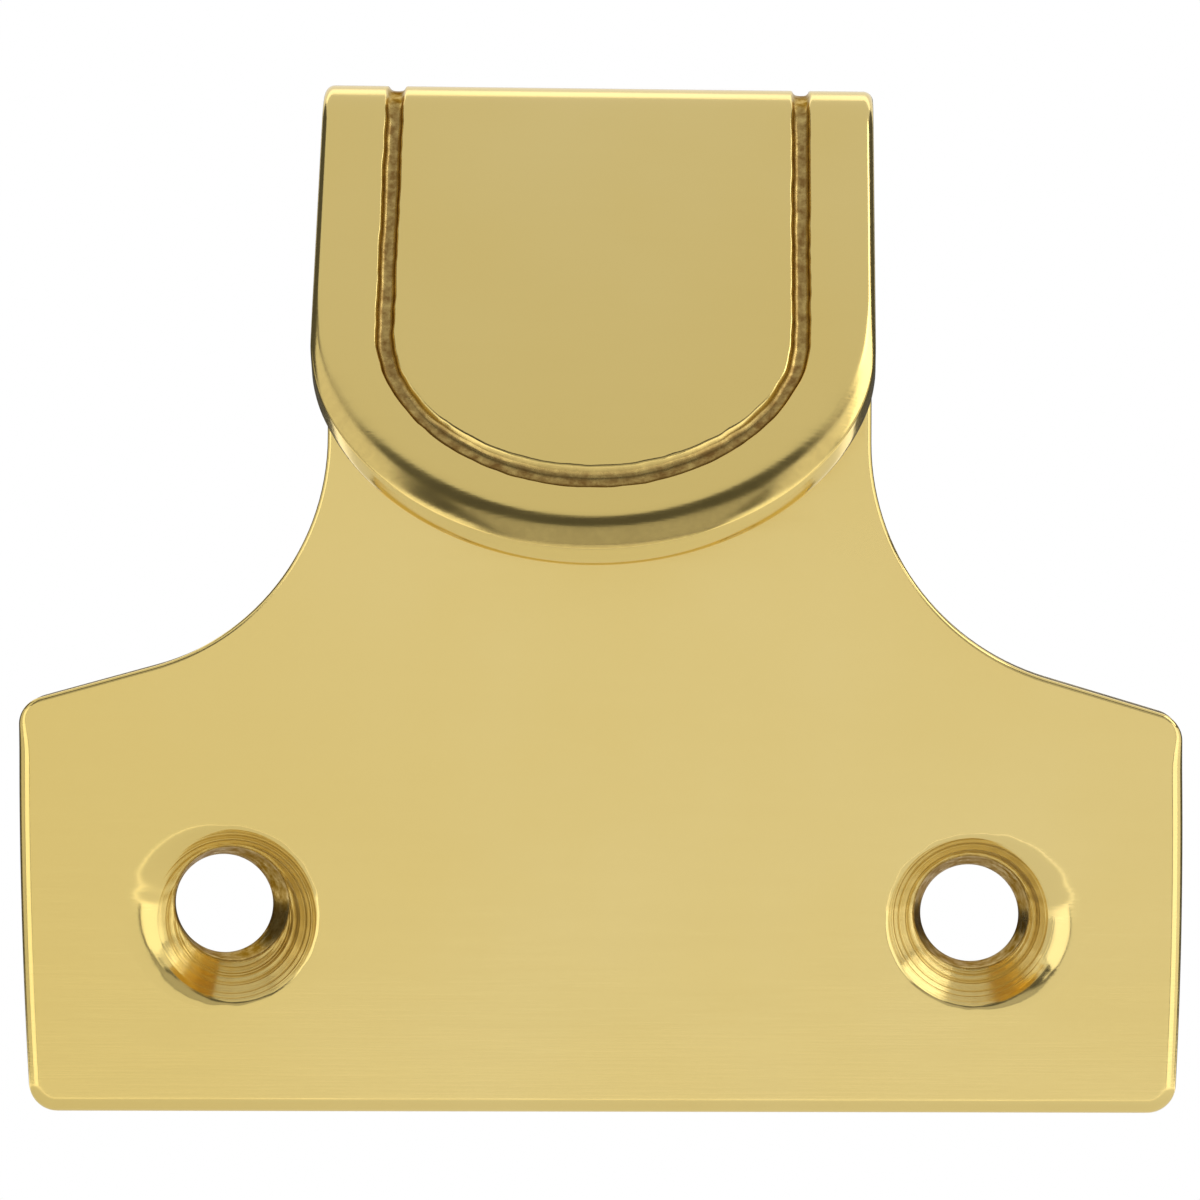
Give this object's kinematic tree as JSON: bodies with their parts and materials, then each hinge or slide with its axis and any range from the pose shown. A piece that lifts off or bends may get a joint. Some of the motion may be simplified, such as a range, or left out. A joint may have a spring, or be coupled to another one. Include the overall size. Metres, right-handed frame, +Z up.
{
  "type": "hook sash lift",
  "caption": "One-piece brass finger hook for raising a sliding sash: an inverted-T plate with countersunk screw holes, its neck bent over into a flared, rounded tab.",
  "frame": {"origin": "on the plate's back face, midway between the two screw holes", "axes": "+X across the plate, +Y out of the back into the sash, +Z up towards the bend"},
  "size_m": [0.048, 0.0212, 0.0422],
  "materials": {
    "polished_brass": "polished and clear lacquered, darkened in the groove"
  },
  "bodies": {
    "root": {"sash_lift": "polished_brass"}
  },
  "joints": []
}
